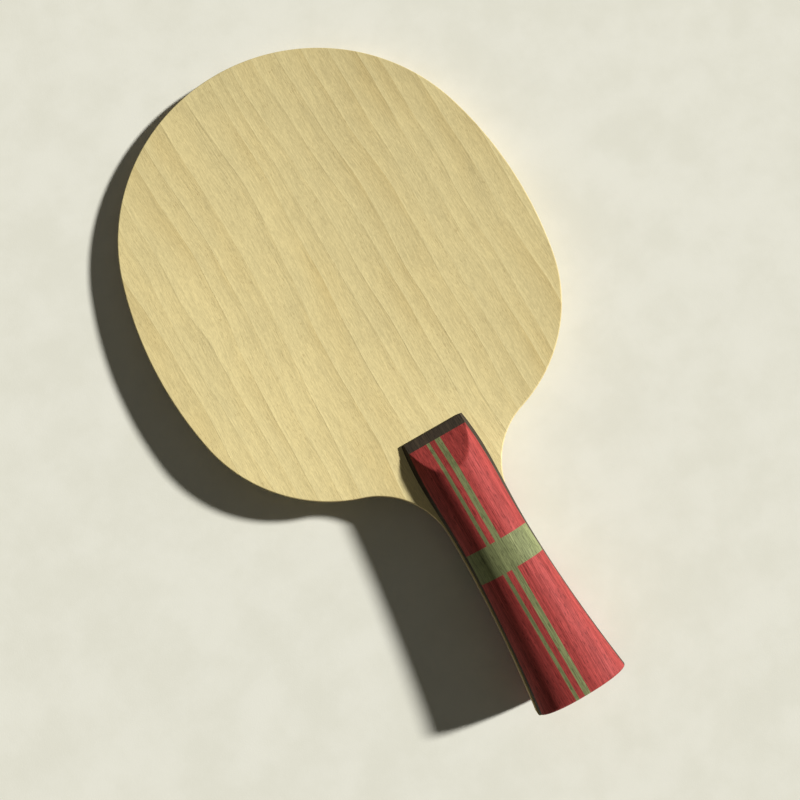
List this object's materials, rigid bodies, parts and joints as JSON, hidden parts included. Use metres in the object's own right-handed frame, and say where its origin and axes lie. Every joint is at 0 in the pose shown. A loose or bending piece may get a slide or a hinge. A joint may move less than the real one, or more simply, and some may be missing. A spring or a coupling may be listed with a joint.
{
  "type": "table tennis paddle",
  "caption": "Bare wooden table tennis paddle: an oval plywood blade with no rubber sheets, and a flared grip laminated from red, green and dark wood.",
  "frame": {"origin": "centre of the whole paddle's bounding box, at mid-thickness of the blade", "axes": "+X across the blade, +Y from the butt of the grip to the blade's tip, +Z out of the front face"},
  "size_m": [0.15, 0.2592, 0.024],
  "materials": {
    "face_veneer": "bare, finely sanded pale veneer with straight grain",
    "inner_veneer": "bare cross-grain veneer edge",
    "core_wood": "bare light core wood edge",
    "grip_base_wood": "dark brown wood, thin satin lacquer",
    "grip_red_wood": "red-stained wood with short dark pores, thin satin lacquer",
    "grip_green_wood": "green-stained wood with fine streaks, thin satin lacquer"
  },
  "bodies": {
    "root": {"core_ply": "core_wood", "front_inner_ply": "inner_veneer", "front_face_ply": "face_veneer", "back_inner_ply": "inner_veneer", "back_face_ply": "face_veneer", "front_grip_base": "grip_base_wood", "front_cross_band": "grip_green_wood", "front_left_block_fore": "grip_red_wood", "front_narrow_stripe_fore": "grip_green_wood", "front_middle_strip_fore": "grip_red_wood", "front_wide_stripe_fore": "grip_green_wood", "front_right_block_fore": "grip_red_wood", "front_left_block_aft": "grip_red_wood", "front_narrow_stripe_aft": "grip_green_wood", "front_middle_strip_aft": "grip_red_wood", "front_wide_stripe_aft": "grip_green_wood", "front_right_block_aft": "grip_red_wood", "back_grip_base": "grip_base_wood", "back_cross_band": "grip_green_wood", "back_left_block_fore": "grip_red_wood", "back_narrow_stripe_fore": "grip_green_wood", "back_middle_strip_fore": "grip_red_wood", "back_wide_stripe_fore": "grip_green_wood", "back_right_block_fore": "grip_red_wood", "back_left_block_aft": "grip_red_wood", "back_narrow_stripe_aft": "grip_green_wood", "back_middle_strip_aft": "grip_red_wood", "back_wide_stripe_aft": "grip_green_wood", "back_right_block_aft": "grip_red_wood"}
  },
  "joints": []
}
